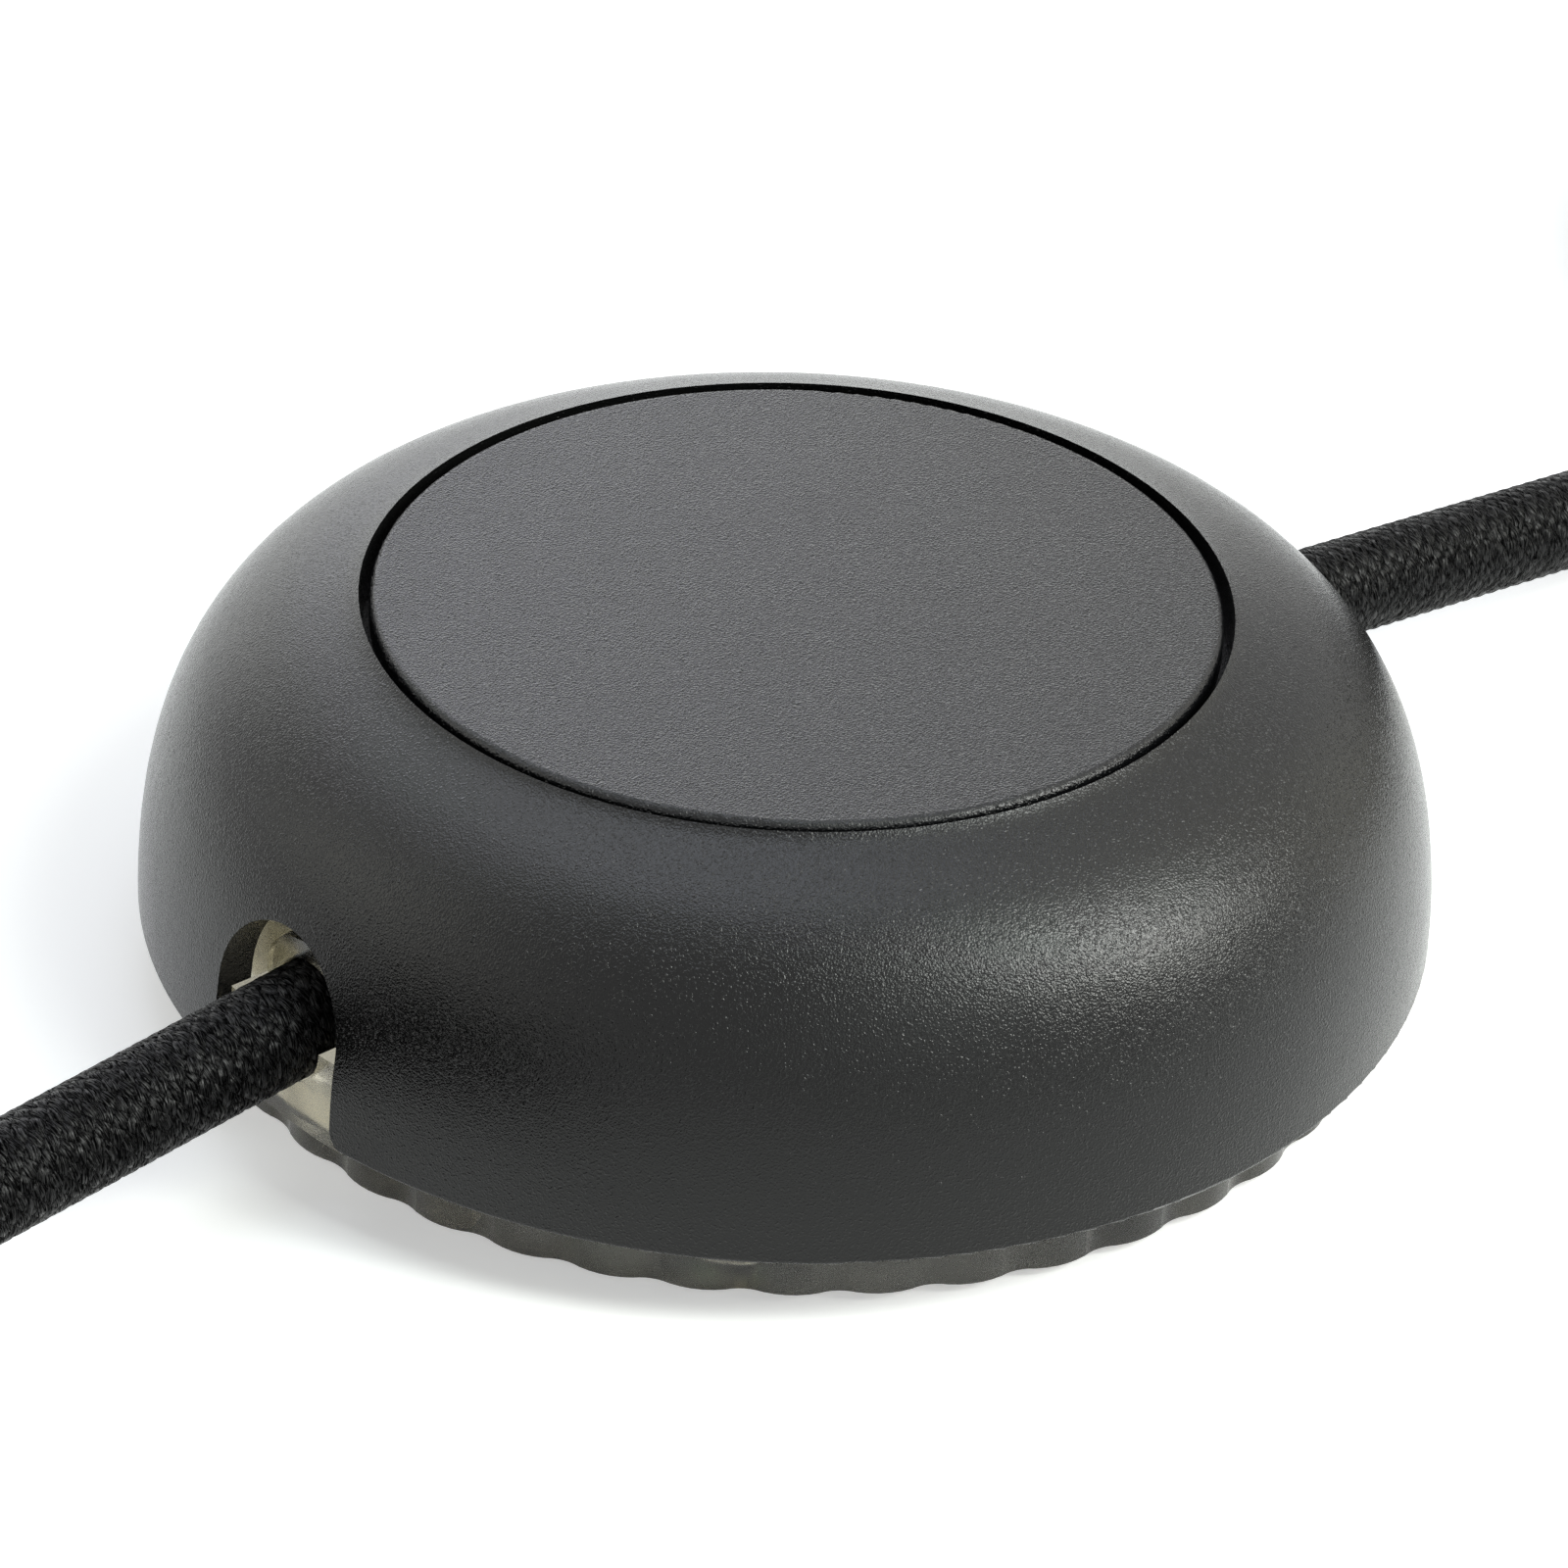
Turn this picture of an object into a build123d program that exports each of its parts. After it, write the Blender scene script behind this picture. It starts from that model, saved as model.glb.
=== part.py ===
from build123d import *
from math import cos, pi, radians, sin, sqrt, tan
import os

# Inline cord dimmer: a round foot dimmer with a pressed top pad and a textile cord on both sides.
# Millimetres. The origin is on the surface it stands on, under the middle of the body.
# +Z is up. The cords run along X: the mains cord leaves at -X, the lamp cord at +X.

os.makedirs("parts", exist_ok=True)

# Body seen from outside
body_radius = 43.0
housing_wall = 2.6
skirt_lift = 4.36  # lower edge of the housing above the underside of the base
skirt_round = 0.35
lip_run = 1.56  # the two lengths that shape the rounded lip beside the pad
lip_drop = 1.88
shoulder_rise = 21.94  # how far the shoulder's pull reaches above the lower edge
lip_wall = 1.6
inner_shares = (0.85, 0.65, 0.45, 0.3)  # places along the outer curve that the inner one follows
inner_slope = 0.37  # of the inner curve under the lip

# Press pad
pad_radius = 27.77
pad_gap = 0.7
pad_thickness = 2.0
pad_edge_round = 0.55
pad_proud = 0.07
pad_travel = 1.8
pad_spare = 0.44  # what is left under the pad at the end of its travel
skirt_wall = 1.6
skirt_play = 0.4
hook_height = 1.7
hook_reach = 1.8
hook_play = 0.1
hook_count = 4
hook_angle = 26
hook_slot = 1.2
flange_thickness = 2.0
flange_reach = 2.87
pad_rib_count = 6
pad_rib_width = 1.1
pad_rib_depth = 1.2

# Clear base
foot_lift = 0.8
floor_thickness = 2.0
flute_count = 43
flute_depth = 0.5
flute_turn = -129.6  # angle of the middle of one flute's crest
crest_share = 0.6
band_play = 0.25
band_height = 5.5
band_wall = 1.8
tub_step = 1.95
tub_wall = 1.6
post_radius = 4.0
post_height = 1.8

# Feet
foot_count = 4
foot_radius = 4.0
foot_thickness = 1.6
foot_circle = 30.0
fit_play = 0.15
foot_round = 0.3

# Screws that hold the housing to the base
boss_radius = 3.5
boss_play = 0.6
screw_radius = 1.45
screw_length = 12.0
screw_head_radius = 2.8
screw_head_height = 1.7
thread_play = 0.05
screw_cross = (2.6, 0.7, 0.9)  # length, width and depth
head_round = 0.5

# Cord, its arch in the housing and the saddle and clamp inside
cord_diameter = 7.0
cord_height = 10.75  # centre of the cord where it passes the housing's face
face_inset = 2.15  # how far the face leans in at that height
cord_slope = 0.11
cord_play = 0.12
arch_width = 12.1
arch_height = 11.7  # centre of the arch's round top
arch_corner = 1.5
tongue_inset = 1.3
tongue_play = 0.2
tongue_drop = 1.2
collar_width = 1.2
collar_play = 0.4
collar_sink = 0.2
collar_proud = 0.8
wall_rib = 0.9
wall_rib_gap = 0.6
saddle_root = 0.1
clamp_length = 5.0
clamp_gap = 0.5
clamp_crown = 1.4
clamp_ear = 2.6
clamp_screw_radius = 1.4
clamp_screw_length = 7.0
clamp_head_radius = 2.4
clamp_head_height = 1.5
clamp_half_width = 9.6
clamp_room = 4.1  # between the clamp's two ends and the base's inner wall, together
clamp_head_edge = 0.6
clamp_slot = (0.6, 6.0, 0.7)  # width, length and depth

# Circuit board and inner cover
standoff_height = 3.6
standoff_radius = 2.4
board_thickness = 1.6
board_margin = 1.0
board_end_gap = 3.5
board_screw_radius = 1.1
board_screw_inset = 4.0
board_screw_y = 8.5
board_screw_end = 0.5  # above the floor of the base
cover_thickness = 1.2
cover_play = 0.6
cover_lip_depth = 1.4
cover_lip_wall = 0.8
cover_edge_play = 0.3
notch_shift = 0.2
notch_half_width = 10.6
parts_clearance = 0.6
board_screw_head = 1.4
board_slot = (0.5, 3.0, 0.6)

# Parts on the board
terminal_size = (8.0, 11.0, 7.0)
terminal_inset = 2.5
terminal_hole = 1.5
terminal_screw_radius = 1.7
terminal_floor = 4.4  # under the screw
terminal_entry = 2.4  # height of the wire's middle
terminal_back = 1.5
terminal_chamfer = 0.5
terminal_screw_sink = 0.6
terminal_slot = (0.5, 4.0, 0.7)
wire_spacing = 5.0
wire_radius = 1.2
wire_lead = 2.4  # straight run out of the cord
wire_landing = 1.0  # straight run before the terminal
choke_radius = 7.5
choke_hole = 3.2
choke_height = 7.4
choke_turns = 12
choke_spread = 330.0  # degrees that the winding covers
choke_first = 15.0
choke_x = -1.0
choke_inset = 3.5  # from the board's round edge
winding_wire = 0.9
winding_play = 0.1
winding_round = (0.8, 0.3)  # outside and inside
choke_round = 0.5
triac_size = (10.0, 9.0, 4.4)
triac_tab = 1.3
triac_tab_length = 6.0
triac_shift = 3.0
triac_chamfer = 0.6
triac_hole = 1.7
triac_screw_radius = 1.5
triac_head_radius = 2.7
triac_head_height = 1.6
triac_slot = (0.7, 6.0, 0.7)
sink_size = (18.0, 13.0, 1.5)
sink_inset = 5.7
film_size = (13.0, 6.0, 7.0)
film_inset = (4.1, 10.0)  # from the board's straight end and from its round edge
film_round = 0.6
can_radius = 3.15
can_length = 11.0
can_inset = (6.0, 10.65)
can_round = 0.5
can_bead = (2.0, 0.6, 0.3)  # place, width and depth
fuse_radius = 1.8
fuse_length = 9.0
fuse_inset = (5.5, 13.2)
fuse_cap = (2.0, 0.2)  # length, and how far it stands out
chip_size = (5.0, 4.0, 1.5)
chip_x = 3.0
chip_gap = 1.5
resistor_radius = 1.1
resistor_length = 6.0
resistor_gap = 2.5
resistor_rows = (6.0, -6.5)
resistor_round = 0.4
led_radius = 1.5
led_height = 4.4
led_inset = 4.2
led_angle = -62.0
led_rim = (0.3, 0.8)  # width and height
led_round = 0.9  # of its radius

# Switch under the pad, with the pad's stem, guide and spring
switch_size = 7.0
switch_height = 3.6
plunger_radius = 1.75
plunger_rise = 2.4
plunger_sink = 1.0
plunger_chamfer = 0.3
switch_chamfer = 0.8
switch_floor = 0.6
stem_radius = 3.0
stem_play = 0.3
stem_gap = 0.1
guide_wall = 1.3
guide_height = 4.0
cup_wall = 1.2
spring_radius = 6.0
spring_wire = 0.8
spring_turns = 4.5
spring_play = 0.05

# Coils of put-away cord and what ends the cords
coil_radius = 38.5  # middle of the turns
layer_pitch = 7.1
mains_layers = 3
lamp_layers = 2
coil_round = 2.0
plug_width = 35.3
plug_thickness = 13.7
plug_length = 34.0
plug_neck_width = 15.0
plug_neck_thickness = 11.5
plug_corner = 0.45  # of the neck's thickness
plug_shares = (0.0, 0.3, 0.72, 1.0)  # places of the plug's sections along its length
pin_radius = 2.0
pin_length = 19.0
pin_spacing = 18.6
pin_sleeve_length = 10.0
pin_sleeve_wall = 0.4
relief_length = 22.0
relief_end_radius = 4.6
relief_taper = 1.4
relief_grooves = 4
relief_groove_start = 4.5
relief_groove_pitch = 3.4
relief_groove_width = 1.2
relief_groove_wall = 0.1
plug_rest = 0.3  # between the plug and the coil it lies on
pin_root = 4.0
pin_round = 1.4
end_sleeve_length = 14.0
end_sleeve_wall = 0.6
end_sleeve_play = 0.05
end_sleeve_share = 0.8  # of the sleeve that lies on the cord
end_wire_length = 26.0
ferrule_radius = 0.9
ferrule_length = 8.0
ferrule_collar = 0.3  # its reach over the wire, and its share of the length
wire_offset = 1.5  # of each conductor from the middle of the cord
end_wire_root = 3.0
end_wire_shares = (0.35, 0.55)  # of its length, in its two sloping runs
end_wire_spread = (1.4, 3.4)  # sideways in each run
end_wire_drop = (1.2, 1.0)  # downwards in each run
bend_share = 0.45  # of the shorter run beside a corner, that its bend may take up

# Heights that follow from the stack inside the body
floor_low = foot_lift
floor_top = floor_low + floor_thickness
board_low = floor_top + standoff_height
board_top = board_low + board_thickness
parts_room = parts_clearance + max(terminal_size[2], choke_height, film_size[2], 2 * can_radius)
cover_low = board_top + parts_room
cover_top = cover_low + cover_thickness
hook_low = cover_top + pad_travel + pad_spare
hook_top = hook_low + hook_height
flange_low = hook_top + hook_play
flange_top = flange_low + flange_thickness
pad_low = flange_top + pad_travel + pad_spare
pad_top = pad_low + pad_thickness
rim_height = pad_top - pad_proud
skirt_low = floor_low + skirt_lift

# Radii that follow from the fits between housing, base and cover
opening_radius = pad_radius + pad_gap
tube_radius = opening_radius + lip_wall
flange_radius = opening_radius - flange_reach
hook_skirt = flange_radius - skirt_play
crest_radius = body_radius - housing_wall - band_play
trough_radius = crest_radius - flute_depth
band_radius = trough_radius - band_wall
tub_radius = crest_radius - tub_step
tub_inner = tub_radius - tub_wall
cord_start = tub_inner - clamp_length - clamp_room
screw_circle = tub_inner - boss_radius - boss_play
screw_angles = [45, 135, 225, 315]
cord_radius = cord_diameter / 2
face_radius = body_radius - face_inset
board_radius = screw_circle - boss_radius - board_margin
board_half_width = cord_start - board_end_gap
board_screw_x = board_half_width - board_screw_inset
clamp_x = cord_start + (clamp_length + clamp_room) / 2
clamp_screw_y = cord_radius + clamp_ear + clamp_head_edge
terminal_x = board_half_width - terminal_size[0] / 2 - terminal_inset
plunger_low = board_top + switch_height - plunger_sink
plunger_top = board_top + switch_height + plunger_rise
guide_top = min(cover_top + guide_height, pad_low - pad_travel - pad_rib_depth)


def cord_z(x):
    """Height of the cord's centre where it runs straight, at a distance x from the middle."""
    return cord_height - cord_slope * (x - face_radius)


# Route of each cord, outwards from the body, sideways to its coil, and up. The first point is
# inside the clamp. The last lies where the outer turn of the coil begins, with the coil's middle
# on the cord's own line.
mains_route = [
    (cord_start, 0.0, cord_z(cord_start)),
    (74.5, 0.0, cord_z(74.5)),
    (89.6, 7.8, 4.8),
    (101.5, 24.4, 3.6),
]
lamp_route = [
    (cord_start, 0.0, cord_z(cord_start)),
    (88.3, 0.0, cord_z(88.3)),
    (103.4, 7.8, 4.3),
    (115.3, 24.4, 3.6),
]
coil_heading = 54.5  # direction of the cord as it joins the coil, in degrees
outer_turn = coil_radius + layer_pitch / 2
inner_turn = coil_radius - layer_pitch / 2


def turned(shape, angle):
    return Rot(0, 0, angle) * shape


def ring(outer, inner, low, high):
    """Plain tube about the middle of the body, between two heights."""
    wall = Cylinder(outer, high - low) - Cylinder(inner, high - low)
    return Pos(0, 0, (low + high) / 2) * wall


def pillar(x, y, radius, low, high):
    return Pos(x, y, (low + high) / 2) * Cylinder(radius, high - low)


def block(x, y, size_x, size_y, low, high):
    return Pos(x, y, (low + high) / 2) * Box(size_x, size_y, high - low)


def polar(radius, angle):
    return radius * cos(radians(angle)), radius * sin(radians(angle))


def dome(inset):
    """Solid of revolution under the housing's outer curve, moved in by an even inset."""
    crown = Bezier(
        (opening_radius, rim_height),
        (opening_radius + lip_run, rim_height - lip_drop),
        (body_radius, skirt_low + shoulder_rise),
        (body_radius, skirt_low),
    )
    low = skirt_low
    top = rim_height
    if inset:
        low = floor_low
        path = [(body_radius - inset, skirt_low)]
        for share in inner_shares:
            point = crown @ share
            along = (crown % share).normalized()
            path.append((point.X + along.Y * inset, point.Y - along.X * inset))
        top = path[-1][1] + inner_slope * (path[-1][0] - opening_radius)
        path.append((opening_radius, top))
        crown = Spline(path)
    outline = [
        crown,
        Line((opening_radius, top), (0, top)),
        Line((0, top), (0, low)),
        Line((0, low), (body_radius - inset, low)),
    ]
    if inset:
        outline.append(Line((body_radius - inset, low), (body_radius - inset, skirt_low)))
    face = make_face(outline)
    if not inset:
        corner = face.vertices().sort_by(Axis.X)[-1]
        face = fillet(corner, skirt_round)
    return revolve(Plane.XZ * face, Axis.Z)


def arch_cutter():
    """Round-topped opening for the cord, with its lower corners rounded outwards."""
    half = arch_width / 2
    foot = half + arch_corner
    swing = arch_corner * (1 - sqrt(0.5))
    outline = [
        ThreePointArc((half, arch_height), (0, arch_height + half), (-half, arch_height)),
        Line((-half, arch_height), (-half, skirt_low + arch_corner)),
        ThreePointArc(
            (-half, skirt_low + arch_corner), (-half - swing, skirt_low + swing), (-foot, skirt_low)
        ),
        Line((-foot, skirt_low), (-foot, floor_low - 1)),
        Line((-foot, floor_low - 1), (foot, floor_low - 1)),
        Line((foot, floor_low - 1), (foot, skirt_low)),
        ThreePointArc(
            (foot, skirt_low), (half + swing, skirt_low + swing), (half, skirt_low + arch_corner)
        ),
        Line((half, skirt_low + arch_corner), (half, arch_height)),
    ]
    face = Plane.YZ * make_face(outline)
    return Pos(tub_inner, 0, 0) * extrude(face, body_radius)


def straight_cord(radius, near, far):
    """Cylinder on the cord's sloping centre line at +X, between two distances from the middle."""
    start = Vector(near, 0, cord_z(near))
    end = Vector(far, 0, cord_z(far))
    plane = Plane(origin=start, z_dir=end - start)
    return extrude(plane * Circle(radius), (end - start).length)


def housing():
    shell = dome(0) - dome(housing_wall)
    tube_top = rim_height - lip_drop
    shell += ring(tube_radius, opening_radius, flange_low, tube_top)
    shell -= pillar(0, 0, opening_radius, flange_top, rim_height + 1)
    shell += ring(tube_radius, flange_radius, flange_low, flange_top)
    core = dome(housing_wall / 2)
    boss_low = floor_top + post_height
    hole_top = floor_low + screw_length + 1
    for angle in screw_angles:
        x, y = polar(screw_circle, angle)
        boss = pillar(x, y, boss_radius, boss_low, rim_height) & core
        boss -= pillar(0, 0, tube_radius - lip_wall / 2, floor_low, rim_height)
        shell += boss
        shell -= pillar(x, y, screw_radius + thread_play, boss_low - 1, hole_top)
    for side in (0, 180):
        shell -= turned(arch_cutter(), side)
    return shell


def press_pad():
    disc = pillar(0, 0, pad_radius, pad_low, pad_top)
    disc = fillet(disc.edges().group_by(Axis.Z)[-1], pad_edge_round)
    skirt = ring(hook_skirt, hook_skirt - skirt_wall, hook_low, pad_low)
    barb_radius = flange_radius + hook_reach - skirt_play
    barb = ring(barb_radius, hook_skirt - skirt_wall / 2, hook_low, hook_top)
    for number in range(hook_count):
        angle = (number + 0.5) * 360 / hook_count
        for side in (-1, 1):
            x, y = polar(hook_skirt - skirt_wall / 2, angle + side * hook_angle / 2)
            slot = Rot(0, 0, angle + side * hook_angle / 2) * Box(
                3 * skirt_wall, hook_slot, 2 * (pad_low - hook_low - 1)
            )
            skirt -= Pos(x, y, hook_low) * slot
    wedge_width = 2 * hook_skirt * sin(radians(hook_angle / 2)) - hook_slot
    hooks = []
    for number in range(hook_count):
        angle = (number + 0.5) * 360 / hook_count
        wedge = block(hook_skirt, 0, 4 * hook_reach, wedge_width, hook_low, hook_top)
        hooks.append(barb & turned(wedge, angle))
    pad = disc + skirt
    for hook in hooks:
        pad += hook
    cup_inner = spring_radius + spring_wire
    rib_low = pad_low - pad_rib_depth
    pad += ring(cup_inner + cup_wall, cup_inner, rib_low, pad_low)
    rib_start = cup_inner + cup_wall / 2
    rib_end = hook_skirt - skirt_wall / 2
    for number in range(pad_rib_count):
        middle = (rib_start + rib_end) / 2
        rib = block(middle, 0, rib_end - rib_start, pad_rib_width, rib_low, pad_low)
        pad += turned(rib, number * 360 / pad_rib_count)
    pad += pillar(0, 0, stem_radius, plunger_top + stem_gap, pad_low)
    return pad


def fluted_face():
    """Outline of the clear base: wide round crests that meet in narrower round troughs."""
    pitch = 360 / flute_count
    crest_half = pitch * crest_share / 2
    middle = (crest_radius + trough_radius) / 2
    arcs = []
    for number in range(flute_count):
        angle = flute_turn + number * pitch
        start = polar(middle, angle - crest_half)
        end = polar(middle, angle + crest_half)
        after = polar(middle, angle + pitch - crest_half)
        arcs.append(ThreePointArc(start, polar(crest_radius, angle), end))
        arcs.append(ThreePointArc(end, polar(trough_radius, angle + pitch / 2), after))
    return make_face(arcs)


def clear_base():
    base = Pos(0, 0, floor_low) * extrude(fluted_face(), band_height)
    base -= pillar(0, 0, band_radius, floor_top, floor_low + band_height + 1)
    wall = ring(tub_radius, tub_inner, floor_top, cover_low)
    base += wall
    for side in (0, 180):
        tongue = block(
            (tub_inner + body_radius) / 2,
            0,
            body_radius - tub_inner,
            arch_width - 2 * tongue_play,
            skirt_low - tongue_drop,
            cord_z(body_radius),
        )
        tongue &= pillar(0, 0, body_radius - tongue_inset, floor_low, cover_low)
        collar_radius = cord_radius + collar_play + collar_width
        collar = straight_cord(collar_radius, tub_inner + collar_sink, tub_radius + collar_proud)
        saddle_low = floor_top - saddle_root
        saddle_high = cord_z(clamp_x) - clamp_gap / 2
        saddle = block(clamp_x, 0, clamp_length, 2 * clamp_half_width, saddle_low, saddle_high)
        rib_low = cord_height + cord_radius + wall_rib_gap
        rib = block(tub_radius, cord_radius / 2, 2 * wall_rib, wall_rib, rib_low, cover_low)
        groove = straight_cord(cord_radius + cord_play, cord_start - 1, body_radius + 5)
        for piece in (tongue, collar, saddle, rib):
            base += turned(piece, side)
        base -= turned(groove, side)
        for y in (-clamp_screw_y, clamp_screw_y):
            hole_low = cord_z(clamp_x) - clamp_screw_length
            hole = pillar(clamp_x, y, clamp_screw_radius + thread_play, hole_low, cover_low)
            base -= turned(hole, side)
    for angle in screw_angles:
        x, y = polar(screw_circle, angle)
        base += pillar(x, y, post_radius, floor_top - saddle_root, floor_top + post_height)
        base -= pillar(x, y, screw_radius + 2 * thread_play, floor_low - 1, floor_top + post_height + 1)
        cone = Cone(screw_head_radius + fit_play, screw_radius + fit_play, screw_head_height)
        base -= Pos(x, y, floor_low + screw_head_height / 2) * cone
    for x in (-board_screw_x, board_screw_x):
        for y in (-board_screw_y, board_screw_y):
            base += pillar(x, y, standoff_radius, floor_top - saddle_root, board_low)
            base -= pillar(x, y, board_screw_radius + thread_play, floor_top, board_low + 1)
    for number in range(foot_count):
        x, y = polar(foot_circle, number * 360 / foot_count)
        base -= pillar(x, y, foot_radius + fit_play, floor_low - 1, foot_thickness)
    return base


def foot(number):
    x, y = polar(foot_circle, number * 360 / foot_count)
    body = pillar(x, y, foot_radius, 0, foot_thickness)
    return fillet(body.edges().group_by(Axis.Z)[0], foot_round)


def housing_screws():
    screws = []
    for angle in screw_angles:
        x, y = polar(screw_circle, angle)
        head = Pos(x, y, floor_low + screw_head_height / 2) * Cone(
            screw_head_radius, screw_radius, screw_head_height
        )
        shank = pillar(x, y, screw_radius, floor_low + screw_head_height, floor_low + screw_length)
        cross_length, cross_width, depth = screw_cross
        recess = block(x, y, cross_length, cross_width, floor_low - depth, floor_low + depth)
        recess += block(x, y, cross_width, cross_length, floor_low - depth, floor_low + depth)
        screws.append(head + shank - recess)
    return screws


def inner_cover():
    cover = pillar(0, 0, tub_radius - cover_edge_play, cover_low, cover_top)
    lip_outer = tub_inner - cover_edge_play
    cover += ring(lip_outer, lip_outer - cover_lip_wall, cover_low - cover_lip_depth, cover_low)
    cover += ring(stem_radius + stem_play + guide_wall, stem_radius, cover_top, guide_top)
    for side in (0, 180):
        reach = body_radius - cord_start
        notch_x = cord_start + reach / 2 + notch_shift
        notch = block(notch_x, 0, reach, 2 * notch_half_width, floor_top, cover_top + 1)
        cover -= turned(notch, side)
    for angle in screw_angles:
        x, y = polar(screw_circle, angle)
        cover -= pillar(x, y, boss_radius + cover_play / 2, cover_low - cover_lip_depth - 1, cover_top + 1)
    cover -= pillar(0, 0, stem_radius + stem_play, cover_low - 1, guide_top + 1)
    return cover


def return_spring():
    low = cover_top + spring_wire / 2 + spring_play
    high = pad_low - spring_wire / 2 - spring_play
    height = high - low
    coil = Helix(height / spring_turns, height, spring_radius)
    section = Plane(origin=coil @ 0, z_dir=coil % 0) * Circle(spring_wire / 2)
    return Pos(0, 0, low) * sweep(section, path=coil, is_frenet=True)


def circuit_board():
    board = pillar(0, 0, board_radius, board_low, board_top)
    board &= block(0, 0, 2 * board_half_width, 2 * board_radius, board_low, board_top)
    for x in (-board_screw_x, board_screw_x):
        for y in (-board_screw_y, board_screw_y):
            board -= pillar(x, y, board_screw_radius + fit_play, board_low - 1, board_top + 1)
    return board


def board_screws():
    screws = []
    for x in (-board_screw_x, board_screw_x):
        for y in (-board_screw_y, board_screw_y):
            shank = pillar(x, y, board_screw_radius, floor_top + board_screw_end, board_top)
            head_top = board_top + board_screw_head
            head = pillar(x, y, 2 * board_screw_radius, board_top, head_top)
            head = fillet(head.edges().group_by(Axis.Z)[-1], head_round)
            slot_width, slot_length, depth = board_slot
            slot = block(x, y, slot_width, slot_length, head_top - depth, head_top + 1)
            screws.append(shank + head - slot)
    return screws


def terminal(side):
    depth, width, height = terminal_size
    body = block(terminal_x, 0, depth, width, board_top, board_top + height)
    body = chamfer(body.edges().group_by(Axis.Z)[-1], terminal_chamfer)
    for y in (-wire_spacing / 2, wire_spacing / 2):
        entry = Rot(0, 90, 0) * Cylinder(terminal_hole, depth)
        body -= Pos(terminal_x + terminal_back, y, board_top + terminal_entry) * entry
        bore = terminal_screw_radius + fit_play
        body -= pillar(terminal_x, y, bore, board_top + terminal_floor, board_top + height + 1)
    return turned(body, side)


def terminal_screws():
    screws = []
    for side in (0, 180):
        for y in (-wire_spacing / 2, wire_spacing / 2):
            low = board_top + terminal_floor + thread_play
            high = board_top + terminal_size[2] - terminal_screw_sink
            screw = pillar(terminal_x, y, terminal_screw_radius, low, high)
            slot_width, slot_length, depth = terminal_slot
            screw -= block(terminal_x, y, slot_width, slot_length, high - depth, high + 1)
            screws.append(turned(screw, side))
    return screws


def triac_parts():
    """Power switch lying on its cooling plate, and the screw through its tab."""
    x = -board_half_width / 4
    y = board_radius - sink_inset - sink_size[1] / 2
    low = board_top + sink_size[2]
    plate = block(x, y, sink_size[0], sink_size[1], board_top, low)
    body_x = x + triac_shift
    tab_x = body_x - (triac_size[0] + triac_tab_length) / 2
    body = block(body_x, y, triac_size[0], triac_size[1], low, low + triac_size[2])
    body = chamfer(body.edges().group_by(Axis.Z)[-1], triac_chamfer)
    tab_top = low + triac_tab
    tab = block(tab_x, y, triac_tab_length, triac_size[1], low, tab_top)
    hole = pillar(tab_x, y, triac_hole, board_top - 1, tab_top + 1)
    head_top = tab_top + triac_head_height
    screw = pillar(tab_x, y, triac_screw_radius, board_top + thread_play, tab_top)
    screw += pillar(tab_x, y, triac_head_radius, tab_top, head_top)
    slot_width, slot_length, depth = triac_slot
    screw -= block(tab_x, y, slot_width, slot_length, head_top - depth, head_top + 1)
    return plate - hole, body + tab - hole, screw


def choke_parts():
    """Ring core lying flat, and the winding as loops of wire round its section."""
    x, y = choke_x, choke_inset + choke_radius - board_radius
    half_wire = winding_wire / 2
    core_outer = choke_radius - winding_wire
    core_inner = choke_hole + winding_wire
    low = board_top + winding_wire
    high = board_top + choke_height - winding_wire
    core = Pos(x, y, 0) * ring(core_outer, core_inner, low, high)
    core = fillet(core.edges(), choke_round)
    section = RectangleRounded(choke_radius - choke_hole, choke_height, winding_round[0])
    hollow_width = core_outer - core_inner + winding_play
    hollow = RectangleRounded(hollow_width, high - low + winding_play, winding_round[1])
    loop = extrude(Plane.XZ * (section - hollow), half_wire, both=True)
    loop = Pos((choke_radius + choke_hole) / 2, 0, board_top + choke_height / 2) * loop
    step = choke_spread / choke_turns
    loops = [Pos(x, y, 0) * turned(loop, choke_first + number * step) for number in range(choke_turns)]
    return core, loops


def film_capacitor():
    length, width, height = film_size
    x = board_half_width - film_inset[0] - length / 2
    y = board_radius - film_inset[1] - width / 2
    body = block(x, y, length, width, board_top, board_top + height)
    return fillet(body.edges().filter_by(Axis.Z), film_round)


def can_capacitor():
    place, bead_width, depth = can_bead
    can = Cylinder(can_radius, can_length)
    can = fillet(can.edges(), can_round)
    bead = Cylinder(can_radius + 1, bead_width) - Cylinder(can_radius - depth, bead_width)
    can -= Pos(0, 0, place - can_length / 2) * bead
    x = board_half_width - can_inset[0] - can_length / 2
    y = can_inset[1] + can_radius - board_radius
    return Pos(x, y, board_top + can_radius) * (Rot(0, 90, 0) * can)


def fuse():
    cap_length, cap_proud = fuse_cap
    body = Cylinder(fuse_radius - cap_proud, fuse_length)
    for end in (-1, 1):
        body += Pos(0, 0, end * (fuse_length - cap_length) / 2) * Cylinder(fuse_radius, cap_length)
    x = fuse_inset[0] + fuse_length / 2 - board_half_width
    y = fuse_inset[1] + fuse_radius - board_radius
    return Pos(x, y, board_top + fuse_radius) * (Rot(0, 90, 0) * body)


def control_chip():
    length, width, height = chip_size
    y = switch_size / 2 + chip_gap + width / 2
    return block(chip_x, y, length, width, board_top, board_top + height)


def resistors():
    group = []
    x = -(switch_size + resistor_length) / 2 - resistor_gap
    for y in resistor_rows:
        body = Rot(0, 90, 0) * Cylinder(resistor_radius, resistor_length)
        group.append(Pos(x, y, board_top + resistor_radius) * fillet(body.edges(), resistor_round))
    return group


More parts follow.
